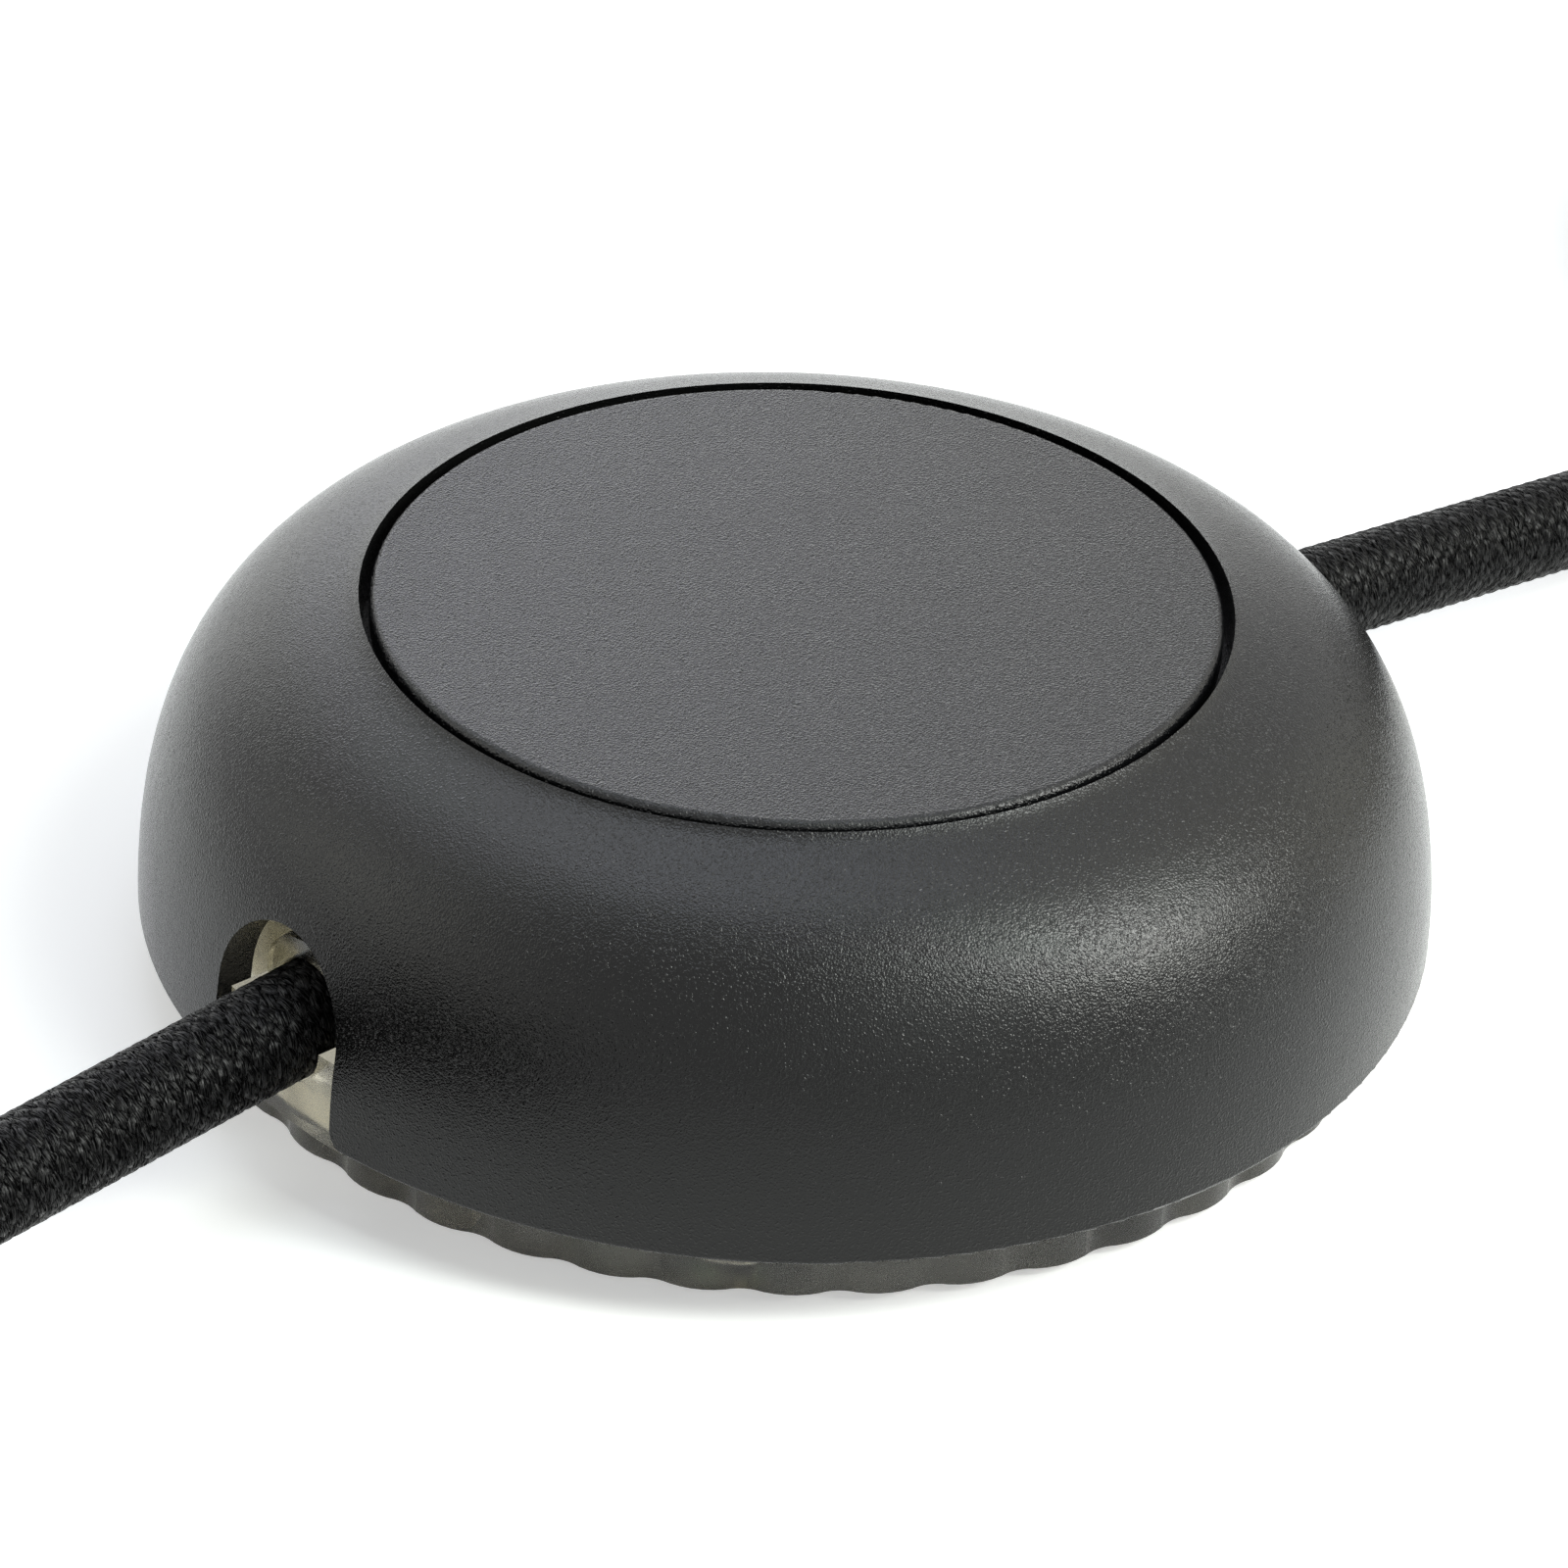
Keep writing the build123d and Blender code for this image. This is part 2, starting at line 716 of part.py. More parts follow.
def finder_lamp():
    x, y = polar(board_radius - led_inset, led_angle)
    body = pillar(x, y, led_radius, board_top, board_top + led_height)
    body = fillet(body.edges().group_by(Axis.Z)[-1], led_radius * led_round)
    rim_width, rim_top = led_rim
    return body + pillar(x, y, led_radius + rim_width, board_top, board_top + rim_top)


def switch_body():
    body = block(0, 0, switch_size, switch_size, board_top, board_top + switch_height)
    body = chamfer(body.edges().filter_by(Axis.Z), switch_chamfer)
    well = plunger_radius + stem_play
    return body - pillar(0, 0, well, board_top + switch_floor, board_top + switch_height + 1)


def switch_plunger():
    body = pillar(0, 0, plunger_radius, plunger_low, plunger_top)
    return chamfer(body.edges().group_by(Axis.Z)[-1], plunger_chamfer)


def cord_clamp(side):
    low = cord_z(clamp_x) + clamp_gap / 2
    high = cord_z(clamp_x) + cord_radius + clamp_crown
    ear_top = low + clamp_ear
    bar = block(clamp_x, 0, clamp_length, 2 * clamp_half_width, low, ear_top)
    arch = Pos(clamp_x, 0, cord_z(clamp_x)) * (
        Rot(0, 90, 0) * Cylinder(high - cord_z(clamp_x), clamp_length)
    )
    arch &= block(clamp_x, 0, clamp_length, 2 * clamp_half_width, low, high + 1)
    bar += arch
    bar -= straight_cord(cord_radius + cord_play, cord_start - 1, clamp_x + clamp_length)
    for y in (-clamp_screw_y, clamp_screw_y):
        bar -= pillar(clamp_x, y, clamp_screw_radius + fit_play, low - 1, ear_top + 1)
        bar -= pillar(clamp_x, y, clamp_head_radius + fit_play, ear_top, high + 2)
    return turned(bar, side)


def clamp_screws():
    screws = []
    low = cord_z(clamp_x) + clamp_gap / 2 + clamp_ear
    for side in (0, 180):
        for y in (-clamp_screw_y, clamp_screw_y):
            shank = pillar(clamp_x, y, clamp_screw_radius, low - clamp_screw_length, low)
            head = pillar(clamp_x, y, clamp_head_radius, low, low + clamp_head_height)
            head = fillet(head.edges().group_by(Axis.Z)[-1], head_round)
            slot_width, slot_length, depth = clamp_slot
            head_top = low + clamp_head_height
            slot = block(clamp_x, y, slot_width, slot_length, head_top - depth, head_top + 1)
            screws.append(turned(shank + head - slot, side))
    return screws


def tube(points, radius, bends):
    """Round tube along straight runs joined by tangent arcs."""
    path = FilletPolyline(*points, radius=bends)
    start = Plane(origin=path @ 0, z_dir=path % 0)
    return sweep(start * Circle(radius), path=path), path.length


def bend_radii(points):
    """Radius of each corner, as large as the shorter run beside it leaves room for."""
    radii = []
    for before, corner, after in zip(points, points[1:], points[2:]):
        run_in = Vector(*corner) - Vector(*before)
        run_out = Vector(*after) - Vector(*corner)
        half_turn = radians(run_in.get_angle(run_out)) / 2
        radii.append(bend_share * min(run_in.length, run_out.length) / tan(half_turn))
    return radii


def cord_tube(name, points, radius):
    bends = bend_radii(points)
    body, length = tube(points, radius, bends)
    expected = pi * radius**2 * length
    print(name, "length", round(length, 1), "radii", [round(bend, 1) for bend in bends])
    print(name, "volume against section times length", round(body.volume / expected, 4))
    return body, length


def inner_wire(side, y_sign):
    """Insulated conductor from the cut end of the cord into its terminal."""
    start_x = cord_start
    start_z = cord_z(cord_start)
    entry_z = board_top + terminal_entry
    y_start = y_sign * wire_offset
    y_end = y_sign * wire_spacing / 2
    points = [
        (start_x, y_start, start_z),
        (start_x - wire_lead, y_start, cord_z(start_x - wire_lead)),
        (terminal_x + terminal_size[0] / 2 + wire_landing, y_end, entry_z),
        (terminal_x + wire_landing, y_end, entry_z),
    ]
    body, _ = tube(points, wire_radius, bend_radii(points))
    return turned(body, side)


def coil_centre(route):
    """Middle of the coil whose outer turn starts at the end of a route."""
    x, y, _ = route[-1]
    x += outer_turn * sin(radians(coil_heading))
    y -= outer_turn * cos(radians(coil_heading))
    return x, y


def cord_coil(route, layers):
    """Closed outer shape of the wound cord, which the turns fill."""
    x, y = coil_centre(route)
    high = cord_diameter + (layers - 1) * layer_pitch
    outer = outer_turn + cord_radius
    inner = inner_turn - cord_radius
    section = RectangleRounded(outer - inner, high, coil_round)
    face = Plane.XZ * (Pos((outer + inner) / 2, high / 2) * section)
    return Pos(x, y, 0) * revolve(face, Axis.Z)


def coil_end(route, layers, points):
    """Points on top of a coil, given from its middle and its upper side."""
    x, y = coil_centre(route)
    top = cord_diameter + (layers - 1) * layer_pitch
    return [(x + px, y + py, top + pz) for px, py, pz in points]


plug_lift = plug_thickness / 2 + plug_rest
mains_end = [
    (-25.4, -31.0, -2.6),
    (-37.3, -18.3, 2.6),
    (-36.5, 4.3, 4.6),
    (-20.2, 20.0, plug_lift),
    (-5.0, 20.0, plug_lift),
]
lamp_end = [(40.0, -6.0, -2.6), (33.0, -24.2, 3.4), (19.1, -33.0, 4.6), (2.0, -33.0, 4.6)]


def plug_parts(start):
    """Flat plug with its strain relief, pins and pin sleeves, heading away from the body."""
    relief = Cone(relief_end_radius + relief_taper, relief_end_radius, relief_length)
    groove = Cylinder(plug_width, relief_groove_width)
    groove -= Cylinder(relief_end_radius - relief_groove_wall, relief_groove_width)
    for number in range(relief_grooves):
        lift = relief_groove_start + number * relief_groove_pitch - relief_length / 2
        relief -= Pos(0, 0, lift) * groove
    relief -= Cylinder(cord_radius + cord_play, relief_length)
    front = -relief_length - plug_length
    relief = Pos(-relief_length / 2, 0, 0) * (Rot(0, 90, 0) * relief)
    sections = []
    section_sizes = (
        (plug_width, plug_thickness),
        (plug_width, plug_thickness),
        ((plug_width + plug_neck_width) / 2, plug_neck_thickness),
        (plug_neck_width, plug_neck_thickness),
    )
    for share, (width, thickness) in zip(plug_shares, section_sizes):
        plane = Plane(origin=(front + share * plug_length, 0, 0), x_dir=(0, 1, 0), z_dir=(1, 0, 0))
        sections.append(plane * RectangleRounded(width, thickness, plug_neck_thickness * plug_corner))
    body = loft(sections)
    pins = []
    sleeves = []
    for side in (-1, 1):
        centre = Pos(front, side * pin_spacing / 2, 0)
        across = Rot(0, 90, 0)
        tip = Pos(-pin_sleeve_length - (pin_length - pin_sleeve_length) / 2, 0, 0) * (
            across * Cylinder(pin_radius, pin_length - pin_sleeve_length)
        )
        tip = fillet(tip.edges().group_by(Axis.X)[0], pin_round)
        core_length = pin_sleeve_length + pin_root
        core = Pos(pin_root - core_length / 2, 0, 0) * (
            across * Cylinder(pin_radius - pin_sleeve_wall, core_length)
        )
        sleeve = Pos(-pin_sleeve_length / 2, 0, 0) * (
            across * Cylinder(pin_radius, pin_sleeve_length)
            - across * Cylinder(pin_radius - pin_sleeve_wall, pin_sleeve_length)
        )
        body -= centre * core
        pins.append(centre * (tip + core))
        sleeves.append(centre * sleeve)
    place = Pos(*start) * Rot(0, 0, 180)
    return place * relief, place * body, [place * pin for pin in pins], [place * item for item in sleeves]


def bare_end(start, before):
    """Shrink sleeve on the cut cord, two insulated wires and their crimped ferrules."""
    tip = Vector(*start)
    along = (tip - Vector(*before)).normalized()
    plane = Plane(origin=tip - along * end_sleeve_length * end_sleeve_share, z_dir=along)
    sleeve = extrude(plane * Circle(cord_radius + end_sleeve_wall), end_sleeve_length)
    sleeve -= extrude(plane * Circle(cord_radius + end_sleeve_play), end_sleeve_length)
    flat = Vector(along.X, along.Y, 0).normalized()
    across = Vector(-flat.Y, flat.X, 0)
    wires = []
    ferrules = []
    for side in (-1, 1):
        first = tip + across * side * wire_offset
        root = first + along * end_wire_root
        points = [first, root]
        for share, reach, drop in zip(end_wire_shares, end_wire_spread, end_wire_drop):
            run = flat * end_wire_length * share + across * side * reach - Vector(0, 0, drop)
            points.append(points[-1] + run)
        spread, last = points[-2:]
        points = [tuple(point) for point in points]
        wire, _ = tube(points, wire_radius, bend_radii(points))
        ferrule_plane = Plane(origin=last, z_dir=last - spread)
        ferrule = extrude(ferrule_plane * Circle(ferrule_radius), ferrule_length)
        collar_circle = ferrule_plane * Circle(wire_radius + ferrule_collar)
        collar = extrude(collar_circle, ferrule_length * ferrule_collar)
        wires.append(wire)
        ferrules.append(ferrule + collar)
    return sleeve, wires, ferrules


def save(name, shape):
    if isinstance(shape, list):
        shape = Compound(children=[piece for item in shape for piece in item.solids()])
    export_step(shape, f"parts/{name}.step")


save("housing", housing())
save("press_pad", press_pad())
save("clear_base", clear_base())
for foot_number in range(foot_count):
    save(f"foot_{foot_number + 1}", foot(foot_number))
save("housing_screws", housing_screws())
save("inner_cover", inner_cover())
save("return_spring", return_spring())
save("circuit_board", circuit_board())
save("board_screws", board_screws())
save("lamp_terminal", terminal(0))
save("mains_terminal", terminal(180))
save("terminal_screws", terminal_screws())
for part_name, solid in zip(("cooling_plate", "triac", "triac_screw"), triac_parts()):
    save(part_name, solid)
choke_core, choke_winding = choke_parts()
save("choke_core", choke_core)
save("choke_winding", choke_winding)
save("film_capacitor", film_capacitor())
save("can_capacitor", can_capacitor())
save("fuse", fuse())
save("control_chip", control_chip())
save("resistors", resistors())
save("finder_lamp", finder_lamp())
save("switch_body", switch_body())
save("switch_plunger", switch_plunger())
save("lamp_cord_clamp", cord_clamp(0))
save("mains_cord_clamp", cord_clamp(180))
save("clamp_screws", clamp_screws())
for cord, side_angle in (("lamp", 0), ("mains", 180)):
    save(f"{cord}_live_wire", inner_wire(side_angle, 1))
    save(f"{cord}_neutral_wire", inner_wire(side_angle, -1))

for cord, side_angle, route, layers, ending in (
    ("lamp", 0, lamp_route, lamp_layers, lamp_end),
    ("mains", 180, mains_route, mains_layers, mains_end),
):
    run, _ = cord_tube(f"{cord}_cord", route, cord_radius)
    save(f"{cord}_cord", turned(run, side_angle))
    save(f"{cord}_coil", turned(cord_coil(route, layers), side_angle))
    end_points = coil_end(route, layers, ending)
    end_run, _ = cord_tube(f"{cord}_cord_end", end_points, cord_radius)
    save(f"{cord}_cord_end", turned(end_run, side_angle))
    if cord == "mains":
        plug_names = ("plug_relief", "plug_body", "plug_pins", "pin_sleeves")
        pieces = dict(zip(plug_names, plug_parts(end_points[-1])))
    else:
        sleeve, wires, ferrules = bare_end(end_points[-1], end_points[-2])
        pieces = {"end_sleeve": sleeve, "end_live_wire": wires[0], "end_neutral_wire": wires[1]}
        pieces["ferrules"] = ferrules
    for part_name, solid in pieces.items():
        group = solid if isinstance(solid, list) else [solid]
        save(part_name, [turned(piece, side_angle) for piece in group])
    print(cord, "coil centre", [round(value, 2) for value in coil_centre(route)])
print("rim height", round(rim_height, 2), "pad top", round(pad_top, 2), "spring from", round(cover_top, 3))
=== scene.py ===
from math import cos, pi, radians, sin

import bpy
import numpy as np
from mathutils import Matrix, Vector


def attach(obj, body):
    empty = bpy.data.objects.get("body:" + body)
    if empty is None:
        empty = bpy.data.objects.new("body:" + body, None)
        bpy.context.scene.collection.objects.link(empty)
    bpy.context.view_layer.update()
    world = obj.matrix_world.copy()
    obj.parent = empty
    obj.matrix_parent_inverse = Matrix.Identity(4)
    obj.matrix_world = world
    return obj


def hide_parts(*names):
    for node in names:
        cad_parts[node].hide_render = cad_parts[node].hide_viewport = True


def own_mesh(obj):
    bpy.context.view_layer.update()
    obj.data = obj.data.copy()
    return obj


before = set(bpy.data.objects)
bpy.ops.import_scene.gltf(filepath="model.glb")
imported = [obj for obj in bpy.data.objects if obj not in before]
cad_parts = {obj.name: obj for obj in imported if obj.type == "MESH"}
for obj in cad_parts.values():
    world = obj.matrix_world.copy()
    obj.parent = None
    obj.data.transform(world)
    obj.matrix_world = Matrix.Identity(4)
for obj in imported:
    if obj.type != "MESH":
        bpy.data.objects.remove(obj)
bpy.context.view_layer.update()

# Metres, in the frame of the part: the origin is on the floor under the middle of the body, +Z is up.
# The mains cord leaves at -X and the lamp cord at +X. The body is 86 mm across.
mm = 0.001

# Camera: the heading is counted from +X, and pan, tilt and roll turn about the camera's own axes
camera_place = (-238.35 * mm, -266.44 * mm, 239.04 * mm)
camera_heading = 48.19
camera_pitch = 32.2246
camera_pan = 0.040
camera_tilt = -0.103
camera_roll = 2.5638
camera_lens = 146.776

# Cords, with the routes' points on the side the cord leaves from, as x outwards and y sideways
cord_radius = 3.5 * mm
layer_pitch = 7.1 * mm
outer_turn = 42.05 * mm
inner_turn = 34.95 * mm
coil_heading = 54.5
stage_angle = 300.0  # degrees that the cord stays in one place of the coil, the change of place included
change_angle = 60.0
points_per_turn = 16
braid_count = 14  # yarns of each direction round the cord
braid_pitch = 1.35 * mm  # along the cord, from one crossing of two yarns to the next
braid_depth = 0.12 * mm
fibre_lean = 0.18  # run along the cord for each length round it
fibre_width = 0.08 * mm
fibre_length = 0.9 * mm
fibre_relief = 0.045 * mm
yarn_relief = 0.10 * mm
cord_sides = 84
braid_until = 72 * mm  # the mesh is fine enough for the braid up to here, and plain on the rest of the cord
braid_step = 0.22 * mm
plain_step = 2.2 * mm
mains_route = [(27.5, 0, 12.22), (57.5, 0, 8.91), (74.5, 0, 7.04), (89.6, 7.8, 4.8), (101.5, 24.4, 3.6)]
lamp_route = [(27.5, 0, 12.22), (71.3, 0, 7.4), (88.3, 0, 5.53), (103.4, 7.8, 4.3), (115.3, 24.4, 3.6)]
mains_places = [(outer_turn, 0), (inner_turn, 0), (inner_turn, 1), (outer_turn, 1), (outer_turn, 2), (inner_turn, 2)]
lamp_places = mains_places[:4]
mains_turned = 1620.0  # degrees that the cord turns in its coil
lamp_turned = 1200.0
mains_top = [(37.0, 302), (38.0, 280), (39.2, 259), (40.1, 240)]  # radius and angle of points on top of the coil
lamp_top = [(40.8, 9)]
mains_last = [(-37.3, -18.3, 24.9), (-36.5, 4.3, 25.6), (-20.2, 20.0, 28.0), (-5.0, 20.0, 28.35), (6.0, 20.0, 28.35)]
lamp_last = [(39.9, -7.0, 17.8), (33.0, -24.2, 17.8), (19.1, -33.0, 18.7), (2.0, -33.0, 18.7)]

# Spring under the pad: radius of its turns, its wire, the two ends of the wire's centreline, and the pad's travel
spring_radius = 6.0 * mm
spring_wire = 0.8 * mm
spring_turns = 4.5
spring_low = 17.65 * mm
spring_high = 25.03 * mm

# Straps round the coils
tie_half_width = 4.5 * mm
tie_half_thickness = 0.35 * mm
tie_play = 0.15 * mm  # between the strap and the cord at the sides
tie_press = 0.2 * mm  # how far the strap's loop is lower than the layers
tie_corner = 0.42  # power of the rounded corners

# Light: share that the paper throws back where it is seen and elsewhere, its own glow, and the room's level
paper_white = 0.80
paper_dull = 0.40
paper_glow = 0.45
room_level = 0.03


def smooth(share):
    """Share from 0 to 1 with level ends: 3 s^2 - 2 s^3."""
    share = np.clip(share, 0, 1)
    return share * share * (3 - 2 * share)


def coil_points(start, places, top_place, total):
    """Control points of the wound turns. The angle falls from where the route meets the outer turn; radius and
    layer hold for most of a stage and change smoothly to those of the next in its last 60 degrees."""
    first = 90 + coil_heading
    centre = np.array(start[:2]) * mm - outer_turn * np.array([cos(radians(first)), sin(radians(first))])
    step = 360 / points_per_turn
    turned = np.arange(step, total + 0.1, step)
    ends = np.minimum(stage_angle * np.arange(1, len(places) + 1), total)
    stage = np.minimum(np.searchsorted(ends, turned, side="right"), len(places) - 1)
    share = smooth((turned - ends[stage]) / change_angle + 1)
    stations = np.array([*places, top_place])
    here, following = stations[stage], stations[stage + 1]
    radius, layer = (here + (following - here) * share[:, None]).T
    widened = radius / (0.75 + 0.25 * cos(radians(step)))  # the spline runs inside its control points
    angle = np.radians(first - turned)
    turns = np.stack([
        centre[0] + widened * np.cos(angle),
        centre[1] + widened * np.sin(angle),
        cord_radius + layer * layer_pitch,
    ], axis=1)
    return turns, centre


def route_points(route, places, top_place, total, top, last):
    """The whole cord on its own side: the route, the turns, the points on top of the coil and its end."""
    turns, centre = coil_points(route[-1], places, top_place, total)
    lift = cord_radius + top_place[1] * layer_pitch
    over = [
        (centre[0] + r * mm * cos(radians(a)), centre[1] + r * mm * sin(radians(a)), lift) for r, a in top
    ]
    end = [(centre[0] + x * mm, centre[1] + y * mm, z * mm) for x, y, z in last]
    return np.concatenate([np.array(route) * mm, turns, np.array(over).reshape(-1, 3), np.array(end)])


def centreline(points):
    """Points read from the cord's own quadratic NURBS spline."""
    curve = bpy.data.curves.new("route", "CURVE")
    curve.dimensions = "3D"
    curve.resolution_u = 16
    spline = curve.splines.new("NURBS")
    spline.points.add(len(points) - 1)
    spline.points.foreach_set("co", np.column_stack([points, np.ones(len(points))]).ravel())
    spline.order_u = 3
    spline.use_endpoint_u = True
    holder = bpy.data.objects.new("route", curve)
    bpy.context.scene.collection.objects.link(holder)
    bpy.context.view_layer.update()
    line = bpy.data.meshes.new_from_object(holder)
    found = np.zeros(len(line.vertices) * 3)
    line.vertices.foreach_get("co", found)
    bpy.data.objects.remove(holder)
    bpy.data.meshes.remove(line)
    return found.reshape(-1, 3)


def grid_mesh(name, points, uv=None, closed_u=False, closed_v=False, capped=False):
    """Mesh of a grid of points (rows, columns, 3). closed_u joins the last column to the first and closed_v the last
    row to the first, and capped closes the first row and the last one. uv is (rows, columns + 1, 2)."""
    rows, columns = points.shape[:2]
    index = np.arange(rows * columns).reshape(rows, columns)
    if closed_u:
        index = np.column_stack([index, index[:, 0]])
    if closed_v:
        index = np.vstack([index, index[:1]])
    quads = np.stack([index[:-1, :-1], index[:-1, 1:], index[1:, 1:], index[1:, :-1]], axis=-1).reshape(-1, 4)
    caps = [index[0, columns - 1::-1].tolist(), index[-1, :columns].tolist()] if capped else []
    mesh = bpy.data.meshes.new(name)
    mesh.from_pydata(points.reshape(-1, 3), [], quads.tolist() + caps)
    if uv is not None:
        layer = mesh.uv_layers.new(name="along")
        corners = np.stack([uv[:-1, :-1], uv[:-1, 1:], uv[1:, 1:], uv[1:, :-1]], axis=-2).reshape(-1)
        ends = np.concatenate([uv[0, columns - 1::-1], uv[-1, :columns]]).reshape(-1) if capped else []
        layer.data.foreach_set("uv", np.concatenate([corners, ends]))
    mesh.shade_smooth()
    made = bpy.data.objects.new(name, mesh)
    bpy.context.scene.collection.objects.link(made)
    return made


def braid_height(around, along):
    """Height from 0 to 1 of a braid of two sets of slanting yarns. Along the one set p = n u + v / pitch is constant,
    and along the other q = n u - v / pitch, with u the share of the way round. Each unit square of p and q is one
    yarn lying over another, and the two sets take turns: h = sqrt(4 t (1 - t)) (0.5 + 0.5 sin(pi w)), with t across
    the upper yarn and w along it."""
    p = braid_count * around + along / braid_pitch
    q = braid_count * around - along / braid_pitch
    swapped = (np.floor(p) + np.floor(q)) % 2 > 0.5
    across = np.where(swapped, q % 1, p % 1)
    run = np.where(swapped, p % 1, q % 1)
    return np.sqrt(4 * across * (1 - across)) * (0.5 + 0.5 * np.sin(pi * run))


def cord_mesh(name, line, radius, sides, fine_until, fine_step, coarse_step):
    """Tube along a centreline: p(s, a) = c(s) + r(s, a) (cos a side - sin a up). The side is level and at right
    angles to the run. The radius swells by the height of the braid. The u of its map is the distance round the cord,
    and v is the distance along it."""
    steps = np.linalg.norm(np.diff(line, axis=0), axis=1)
    along = np.concatenate([[0], np.cumsum(steps)])
    length = along[-1]
    fine, coarse = np.arange(0, fine_until, fine_step), np.arange(fine_until, length, coarse_step)
    stations = np.concatenate([fine, coarse, [length]])
    centre = np.stack([np.interp(stations, along, line[:, axis]) for axis in range(3)], axis=1)
    ahead = np.stack([np.interp(stations + 0.5 * mm, along, line[:, axis]) for axis in range(3)], axis=1)
    behind = np.stack([np.interp(stations - 0.5 * mm, along, line[:, axis]) for axis in range(3)], axis=1)
    run = ahead - behind
    run /= np.linalg.norm(run, axis=1)[:, None]
    side = np.cross(run, [0, 0, 1])
    side /= np.linalg.norm(side, axis=1)[:, None]
    up = np.cross(side, run)
    angle = np.linspace(0, 2 * pi, sides, endpoint=False)
    fade = 1 - smooth((stations - fine_until + 10 * mm) / (10 * mm))
    height = braid_height(angle[None] / (2 * pi), stations[:, None])
    swell = radius - braid_depth * fade[:, None] * (1 - height)
    around = np.cos(angle)[None, :, None] * side[:, None] - np.sin(angle)[None, :, None] * up[:, None]
    points = centre[:, None] + swell[..., None] * around
    turn = np.linspace(0, 2 * pi * radius, sides + 1)
    uv = np.stack(np.broadcast_arrays(turn[None], stations[:, None]), axis=-1)
    made = grid_mesh(name, points, uv, closed_u=True, capped=True)
    return made, centre, length


def cord_side(points, outward):
    """Places a cord's points on its own side: as they are for the lamp cord, half a turn round for the mains cord."""
    return points * np.array([outward, outward, 1.0])


# Cords
cords = {}
for cord_name, outward, route, places, top_place, total, top, last in (
    ("mains", -1, mains_route, mains_places, (36.0 * mm, 3), mains_turned, mains_top, mains_last),
    ("lamp", 1, lamp_route, lamp_places, (41.0 * mm, 2), lamp_turned, lamp_top, lamp_last),
):
    line = centreline(cord_side(route_points(route, places, top_place, total, top, last), outward))
    cord, path, length = cord_mesh(
        f"{cord_name}_textile_cord", line, cord_radius, cord_sides, braid_until, braid_step, plain_step
    )
    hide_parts(f"{cord_name}_cord", f"{cord_name}_coil", f"{cord_name}_cord_end")
    cords[cord_name] = (cord, path)
    print(cord_name, "cord", round(length, 4))


def coil_tie(name, outward, route, layers, angle):
    """Strap round the turns of a coil at one angle: a loop of radius and height, swept by a flat rounded section.
    The loop is a rectangle with rounded corners: r = m + a sign(cos) |cos|^k and z = n + b sign(sin) |sin|^k."""
    _, centre = coil_points(route[-1], [(outer_turn, 0)], (outer_turn, 0), stage_angle)
    turn = radians(angle)
    outside, inside = outer_turn + cord_radius, inner_turn - cord_radius
    high = 2 * cord_radius + (layers - 1) * layer_pitch
    loop = np.linspace(0, 2 * pi, 96, endpoint=False)
    squared = [np.sign(wave) * np.abs(wave) ** tie_corner for wave in (np.cos(loop), np.sin(loop))]
    half_width, half_height = (outside - inside) / 2 + tie_play, high / 2 - tie_press
    radius = (outside + inside) / 2 + half_width * squared[0]
    height = high / 2 + tie_half_thickness + half_height * squared[1]
    out_r, out_z = np.gradient(height), -np.gradient(radius)
    size = np.hypot(out_r, out_z)
    section = np.linspace(0, 2 * pi, 12, endpoint=False)
    lift = tie_half_thickness * np.sign(np.cos(section)) * np.abs(np.cos(section)) ** 0.5
    sway = tie_half_width * np.sign(np.sin(section)) * np.abs(np.sin(section)) ** 0.35
    r = radius[:, None] + lift * (out_r / size)[:, None]
    z = np.maximum(height[:, None] + lift * (out_z / size)[:, None], 0.0)
    x = centre[0] + r * cos(turn) - sway * sin(turn)
    y = centre[1] + r * sin(turn) + sway * cos(turn)
    made = grid_mesh(name, cord_side(np.stack([x, y, z], axis=-1), outward), closed_u=True, closed_v=True)
    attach(made, "body")
    return made


ties = {
    "mains": [coil_tie(f"mains_coil_tie_{k + 1}", -1, mains_route, 3, a) for k, a in enumerate((278, 330))],
    "lamp": [coil_tie(f"lamp_coil_tie_{k + 1}", 1, lamp_route, 2, a) for k, a in enumerate((25, 100))],
}

mains_cord, mains_path = cords["mains"]
lamp_cord, lamp_path = cords["lamp"]
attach(mains_cord, "body")
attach(lamp_cord, "body")


def spring_mesh(name):
    """Spring c(t) = (R cos 2 pi n t, R sin 2 pi n t, low + t (high - low)), swept by its round wire, whose section
    lies between the outward direction and the one across the run."""
    t = np.linspace(0, 1, 361)
    turn = 2 * pi * spring_turns * t
    outward = np.stack([np.cos(turn), np.sin(turn), 0 * t], axis=1)
    centre = spring_radius * outward + np.stack([0 * t, 0 * t, spring_low + t * (spring_high - spring_low)], axis=1)
    rise = (spring_high - spring_low) / (2 * pi * spring_turns)
    run = np.stack([-spring_radius * np.sin(turn), spring_radius * np.cos(turn), rise + 0 * t], axis=1)
    run /= np.linalg.norm(run, axis=1)[:, None]
    across = np.cross(run, outward)
    angle = np.linspace(0, 2 * pi, 16, endpoint=False)[None, :, None]
    section = np.cos(angle) * outward[:, None] + np.sin(angle) * across[:, None]
    return grid_mesh(name, centre[:, None] + spring_wire / 2 * section, closed_u=True, capped=True)


# The pad presses the spring together
pressed_spring = spring_mesh("pressed_return_spring")
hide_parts("return_spring")
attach(pressed_spring, "body")
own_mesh(pressed_spring)


